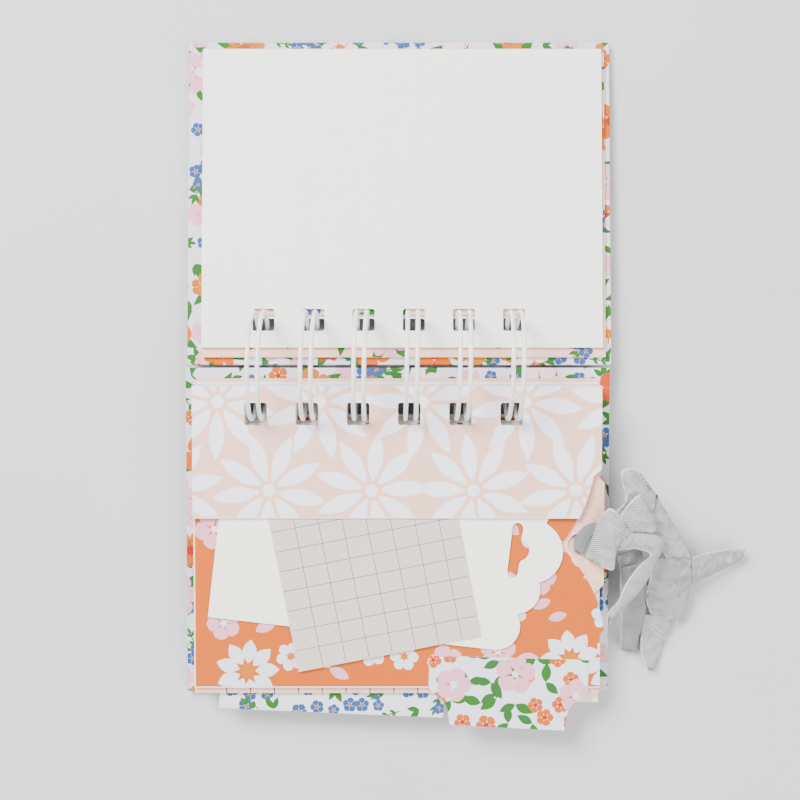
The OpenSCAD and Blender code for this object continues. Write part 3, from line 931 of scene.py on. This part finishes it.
def ribbon_material(name, light, dark, cover):
    """Open weave of fine metallic threads. cover is how much of it hides what lies behind."""
    m = Nodes(name)
    uv = m.add("ShaderNodeUVMap").outputs["UV"]
    split = m.add("ShaderNodeSeparateXYZ")
    m.link(uv, split, "Vector")
    drift = m.math("MULTIPLY", m.noise(700, 2), 1.5)
    across = m.math("SINE", m.math("ADD", m.math("MULTIPLY", split.outputs["X"], 13.0), drift))
    along = m.math("SINE", m.math("ADD", m.math("MULTIPLY", split.outputs["Y"], 13.0), drift))
    weave = m.math("MULTIPLY", across, along)
    thread = m.spread(weave, 0.0, 1.0)
    weave_fac = m.math("MULTIPLY_ADD", weave, 0.5, 0.5)
    cloud = m.ramp(m.noise(190, 4, 0.6), grey(0.78), grey(1.0), (0.3, 0.7))
    off_centre = m.math("ABSOLUTE", m.math("SUBTRACT", split.outputs["X"], RIBBON_W / 2))
    selvedge = m.math("GREATER_THAN", off_centre, RIBBON_W / 2 - SELVEDGE_W)
    woven = m.mix(m.ramp(weave_fac, dark, light, (0.15, 0.7)), cloud, 1.0, "MULTIPLY")
    m.link(m.mix(woven, light, selvedge, "MIX"), m.shader, "Base Color")
    m.link(m.spread(thread, 0.5, 0.36), m.shader, "Roughness")
    m.shader.inputs["Metallic"].default_value = 0.15
    m.shader.inputs["Sheen Weight"].default_value = 0.3
    gaps = m.math("MULTIPLY_ADD", m.math("GREATER_THAN", weave_fac, 0.3), 1 - cover, cover)
    m.link(m.math("MAXIMUM", gaps, selvedge), m.shader, "Alpha")
    m.bump(weave_fac, 0.00012, 0.9)
    return m.material


SATIN = ribbon_material("woven_ribbon", linear(212, 214, 212), linear(84, 87, 86), 0.74)
SHEER = ribbon_material("sheer_ribbon", linear(206, 209, 208), linear(132, 135, 134), 0.42)
SHADED = ribbon_material("shaded_ribbon", linear(176, 179, 178), linear(72, 74, 76), 0.85)


def smooth(values, t):
    """Catmull-Rom between given rows."""
    i = min(int(t), len(values) - 2)
    f = t - i
    a, b = values[i], values[i + 1]
    before = values[i - 1] if i else a + (a - b)
    after = values[i + 2] if i + 2 < len(values) else b + (b - a)
    return 0.5 * (2 * a + (b - before) * f + (2 * before - 5 * a + 4 * b - after) * f * f
                  + (3 * a - before - 3 * b + after) * f ** 3)


def strip(name, rows, node, material=SATIN, curl=0.0, ripple=0.25, fray=0.0, seed=0,
          across=44, per_row=14, gaps=()):
    """A stretch of ribbon through rows of a left and a right edge point. Where these are closer
    than the ribbon is wide, the rest of the width is folded back and forth in layers, with the
    given height from layer to layer at each row. curl arches it across, ripple crumples it and
    fray leaves its last row ragged. Its texture runs along the strip's own centreline."""
    gaps = gaps or [-0.3] * len(rows)
    rng = random.Random(seed)
    lefts, rights = [Vector(a) for a, b in rows], [Vector(b) for a, b in rows]
    count = per_row * (len(rows) - 1)
    ragged = [rng.uniform(-1, 1) * fray for _ in range(across + 1)]
    grid, uvs, along = [], [], 0.0
    last = None
    for j in range(count + 1):
        t = j / per_row
        a, b = smooth(lefts, t), smooth(rights, t)
        centre = (a + b) / 2
        along += (centre - last).length if last else 0.0
        last = centre
        ahead, behind = min(t + 0.1, len(rows) - 1), max(t - 0.1, 0)
        way = (smooth(lefts, ahead) + smooth(rights, ahead)
               - smooth(lefts, behind) - smooth(rights, behind)).normalized()
        square = (b - a) - way * (b - a).dot(way)
        layers = min(MOST_LAYERS, max(1.0, RIBBON_W / max(square.length, 1.0)))
        k = min(int(t), len(rows) - 2)
        gap = gaps[k] + (gaps[k + 1] - gaps[k]) * (t - k)
        for i in range(across + 1):
            q = i / across * layers
            u = q % 2 if q % 2 <= 1 else 2 - q % 2
            p = a.lerp(b, u)
            p.z += curl * math.sin(math.pi * u)
            if layers > 1:
                p.z += gap * (q + math.sin(2 * math.pi * q) / (2 * math.pi))
            crumple = noise.noise(Vector((p.x * 0.42 + seed * 7, p.y * 0.42, seed)))
            fine = noise.noise(Vector((p.x * 1.7, p.y * 1.2 + seed, 3)))
            ridge = 1 - 2 * abs(noise.noise(Vector((p.x * 0.4 - p.y * 0.26, p.y * 0.34, seed + 9))))
            crease = abs(noise.noise(Vector((p.x * 0.8 + p.y * 0.5, p.y * 0.22, seed + 4))))
            p.z += ripple * (2.0 * crumple + 0.6 * fine + 1.8 * ridge + 1.8 * crease - 1.3)
            edge = abs(u - 0.5) * 2
            p.z -= 0.25 * ripple * edge ** 6
            if j == count:
                p += (centre - (smooth(lefts, t - 0.2) + smooth(rights, t - 0.2)) / 2).normalized() \
                    * ragged[i]
            grid.append(p)
            uvs.append((i / across * RIBBON_W, along))
    n = across + 1
    normals = []
    for j in range(count + 1):
        for i in range(n):
            east = grid[j * n + min(i + 1, across)] - grid[j * n + max(i - 1, 0)]
            north = grid[min(j + 1, count) * n + i] - grid[max(j - 1, 0) * n + i]
            normals.append(east.cross(north).normalized())
    half = RIBBON_T / 2
    points = [p + q * half for p, q in zip(grid, normals)] + [p - q * half for p, q in zip(grid, normals)]
    size = len(grid)
    faces = []
    for j in range(count):
        for i in range(across):
            a, b, c, d = j * n + i, j * n + i + 1, (j + 1) * n + i + 1, (j + 1) * n + i
            faces += [[a, b, c, d], [a + size, d + size, c + size, b + size]]
    rim = [j * n for j in range(count + 1)][::-1] + list(range(1, n)) \
        + [j * n + across for j in range(1, count + 1)] + [count * n + i for i in range(across - 1, 0, -1)]
    for a, b in zip(rim, rim[1:] + rim[:1]):
        faces.append([b, a, a + size, b + size])
    placed = [BACK.place(*p) for p in points]
    faces = [f[::-1] for f in faces]             # the back side is mirrored
    mesh = bpy.data.meshes.new(name)
    mesh.from_pydata(placed, [], faces)
    layer = mesh.uv_layers.new(name="UVMap")
    layer.data.foreach_set("uv", [c for face in faces for v in face for c in uvs[v % size]])
    mesh.polygons.foreach_set("use_smooth", [True] * len(faces))
    piece = add_piece(name, mesh, material, "ribbon_tag", node)
    return piece


strip("ribbon_round_tag", [((43.4, 46.3, -0.72), (43.4, 42.9, -0.72)),
      ((46.8, 48.4, -0.66), (46.8, 39.6, -0.66)), ((50.6, 49.6, -0.68), (50.6, 39, -0.68)),
      ((51.3, 49, -1.02), (51.3, 40, -1.02)), ((50.4, 46.6, -1.24), (50.4, 42.8, -1.24)),
      ((47, 46.3, -1.24), (47, 42.9, -1.24)), ((43.6, 46.3, -1.24), (43.6, 42.9, -1.24))],
      ["ribbon_wrap"], SHADED, 0.0, 0.0, seed=1,
      gaps=(0.1, 0.2, 0.15, 0.02, -0.045, -0.045, -0.045))
strip("ribbon_knot_band", [((49.6, 40, 0.2), (46.8, 47.6, 0.2)), ((48.8, 39, 1.6), (46.4, 48, 1.4)),
      ((51.6, 35.2, 3.2), (52.4, 50.6, 3.0)),
      ((54.4, 37.2, 3.9), (53.4, 46.6, 3.5)), ((57.2, 40.6, 2.8), (54.6, 45, 2.6))],
      ["ribbon_knot"], SATIN, 0.5, 0.2, seed=2)
strip("ribbon_sheer_loop", [((53.6, 36.2, 1.4), (57.6, 39, 1.0)), ((55.8, 33, 1.8), (62.6, 36.6, 1.2)),
      ((54.6, 26.2, 2.8), (63.6, 32, 2.2)), ((59.4, 26.2, 1.4), (64.8, 34, 0.8)),
      ((61.8, 33.8, 0.4), (67, 37.4, 0.2)), ((63.6, 42.4, -0.2), (70.4, 43, -0.8)),
      ((66.6, 48.2, -0.8), (73.4, 48.4, -2.2))],
      ["ribbon_upper_loop"], SHEER, 0.4, 0.32, seed=3)
strip("ribbon_folded_loop", [((54.2, 36.8, 3.7), (57.2, 41, 3.7)), ((56.4, 33.6, 4.5), (62.6, 41, 4.3)),
      ((58.8, 31.6, 4.0), (63, 39.2, 4.2)), ((59, 32.4, 3.2), (62.8, 38.8, 3.4)),
      ((56, 35, 2.6), (60.4, 40.2, 2.6))],
      ["ribbon_fold"], SATIN, 0.6, 0.22, seed=4)
strip("ribbon_left_twist", [((53.4, 45.8, 2.4), (57.2, 41, 3.0)), ((58.2, 45.4, 2.8), (60.8, 41, 3.4)),
      ((61.8, 46.8, 3.0), (65.2, 43, 3.4)), ((58.8, 49.8, 3.0), (63.6, 49, 2.6)),
      ((55.6, 54.6, 2.4), (60.4, 55.2, 1.8)), ((54.2, 58.4, 1.8), (56.6, 59.6, 1.4)),
      ((51.3, 61.8, 1.8), (52.9, 63, 1.8))],
      ["ribbon_left_tail"], SATIN, 0.7, 0.16, seed=5)
strip("ribbon_wide_panel", [((63.6, 48.2, -0.8), (73.4, 48.4, -2.6)), ((63, 53.4, -2.6), (74, 53, -4.6)),
      ((62.4, 59.4, -5.2), (73.8, 58.4, -6.8)), ((65, 65.4, -7.8), (72.8, 65.2, -8.4))],
      ["ribbon_panel"], SATIN, 0.4, 0.28, 0.35, seed=6)
strip("ribbon_lower_twist", [((55, 50.6, -1.4), (60.6, 49.6, -0.8)), ((55.4, 57.6, -2.6), (61.6, 57.4, -2.8)),
      ((56, 62, -4.6), (62.4, 63, -5.2)), ((56.6, 73.2, -8.9), (60.6, 74, -8.9))],
      ["ribbon_lower_tail"], SHADED, 0.5, 0.2, 0.3, seed=7)
strip("ribbon_inner_fold", [((54.2, 47.4, -0.6), (60.4, 45.2, -0.4)),
      ((55.4, 51.6, -2.0), (61.6, 50.4, -2.0)), ((57.6, 56.4, -4.0), (63, 55.6, -4.2)),
      ((59.4, 61.2, -5.6), (63.4, 60.8, -5.8))],
      ["ribbon_lower_tail"], SHADED, 0.5, 0.24, 0.2, seed=10)
strip("ribbon_outer_twist", [((62.4, 63.6, -6.6), (69.8, 64.4, -7.6)), ((61.8, 69, -8.2), (69.2, 68, -8.6)),
      ((62, 74, -9), (67, 73.6, -9)), ((63.4, 78.2, -9.1), (65.8, 77.6, -9.1))],
      ["ribbon_outer_tail"], SHEER, 0.3, 0.2, 0.8, seed=8)
strip("ribbon_right_twist", [((73.4, 48.2, -2.6), (74.2, 56.2, -6.4)), ((76.6, 47.6, -4), (77.6, 54.8, -7.4)),
      ((80.2, 47.2, -5.8), (80.6, 53.4, -8)), ((84.2, 46.8, -7.6), (84, 52, -8.6)),
      ((88.4, 46.8, -8.8), (87.2, 50.6, -9))],
      ["ribbon_right_tail"], SHEER, 0.6, 0.36, 0.7, seed=9)


def loose_threads(name, lines):
    """Threads that have worked loose from the ribbon's cut ends."""
    verts, faces = [], []
    rng = random.Random(5)
    for a, b in lines:
        a, b = Vector(a), Vector(b)
        bend = Vector((rng.uniform(-0.5, 0.5), rng.uniform(-0.5, 0.5), rng.uniform(0, 0.3)))
        path = [BACK.place(*(a.lerp(b, k / 8) + bend * math.sin(math.pi * k / 8))) for k in range(9)]
        thread = tube(name + "_part", path, 0.06 * MM, 6, SATIN)
        first = len(verts)
        verts += [v.co.copy() for v in thread.data.vertices]
        faces += [[first + i for i in f.vertices] for f in thread.data.polygons]
        bpy.data.objects.remove(thread)
    mesh = bpy.data.meshes.new(name)
    mesh.from_pydata(verts, [], faces)
    mesh.polygons.foreach_set("use_smooth", [True] * len(faces))
    add_piece(name, mesh, THREAD, "ribbon_tag")


THREAD = paper_material("ribbon_thread", linear(222, 225, 223), rough=0.5)
loose_threads("ribbon_threads", [
    ((63.6, 67.0, -7.0), (69.4, 71.0, -7.8)), ((64.2, 66.2, -6.9), (69.0, 69.9, -7.7)),
    ((64.0, 77.4, -8.9), (63.3, 79.9, -9.6)), ((64.6, 77.8, -8.9), (64.5, 80.2, -9.6)),
    ((65.4, 77.2, -8.9), (66.2, 79.2, -9.6)), ((66.2, 64.6, -7.5), (66.0, 67.0, -8.4)),
    ((68.6, 64.9, -7.7), (69.0, 67.2, -8.4)), ((71.0, 64.8, -7.8), (71.4, 66.8, -8.5)),
    ((51.8, 62.2, 1.6), (51.4, 64.4, 0.9)), ((52.4, 62.6, 1.5), (52.2, 64.6, 0.8)),
    ((57.4, 72.6, -8.8), (57.0, 74.6, -9.5)), ((59.4, 73.2, -8.8), (59.6, 75.2, -9.5)),
    ((87.4, 47.4, -8.9), (89.2, 46.6, -9.6)), ((87.2, 49.6, -9.0), (88.8, 50.4, -9.7))])

# ---- Floor, light and camera ----------------------------------------------

floor_mesh = bpy.data.meshes.new("floor")
floor_mesh.from_pydata([(-1, -1, 0), (1, -1, 0), (1, 1, 0), (-1, 1, 0)], [], [(0, 1, 2, 3)])
floor = bpy.data.objects.new("floor", floor_mesh)
bpy.context.scene.collection.objects.link(floor)
table = Nodes("table_top")
table.link(table.ramp(table.noise(6, 2), linear(196, 198, 198), linear(202, 204, 203)), table.shader,
           "Base Color")
table.shader.inputs["Roughness"].default_value = 0.9
floor_mesh.materials.append(table.material)


def soft_light(name, x, y, z, size, power):
    light = bpy.data.lights.new(name, "AREA")
    light.size, light.energy = size, power
    lamp = bpy.data.objects.new(name, light)
    lamp.location = (x, y, z)
    lamp.rotation_euler = (Vector((MIDDLE_X, 0, 0)) - lamp.location).to_track_quat("-Z", "Y").to_euler()
    bpy.context.scene.collection.objects.link(lamp)


soft_light("window", -0.45, 0.5, 0.75, 0.42, 25)
soft_light("fill", 0.5, -0.4, 0.8, 0.9, 12)

world = bpy.data.worlds.new("studio")
world.use_nodes = True
world.node_tree.nodes["Background"].inputs["Color"].default_value = (1, 1, 1, 1)
world.node_tree.nodes["Background"].inputs["Strength"].default_value = 0.85
bpy.context.scene.world = world

lens = bpy.data.cameras.new("camera")
lens.lens, lens.sensor_width = 58.1, 36
camera = bpy.data.objects.new("camera", lens)
camera.location = (MIDDLE_X, AXIS_Y - 0.00856, 0.334)
bpy.context.scene.collection.objects.link(camera)
bpy.context.scene.camera = camera
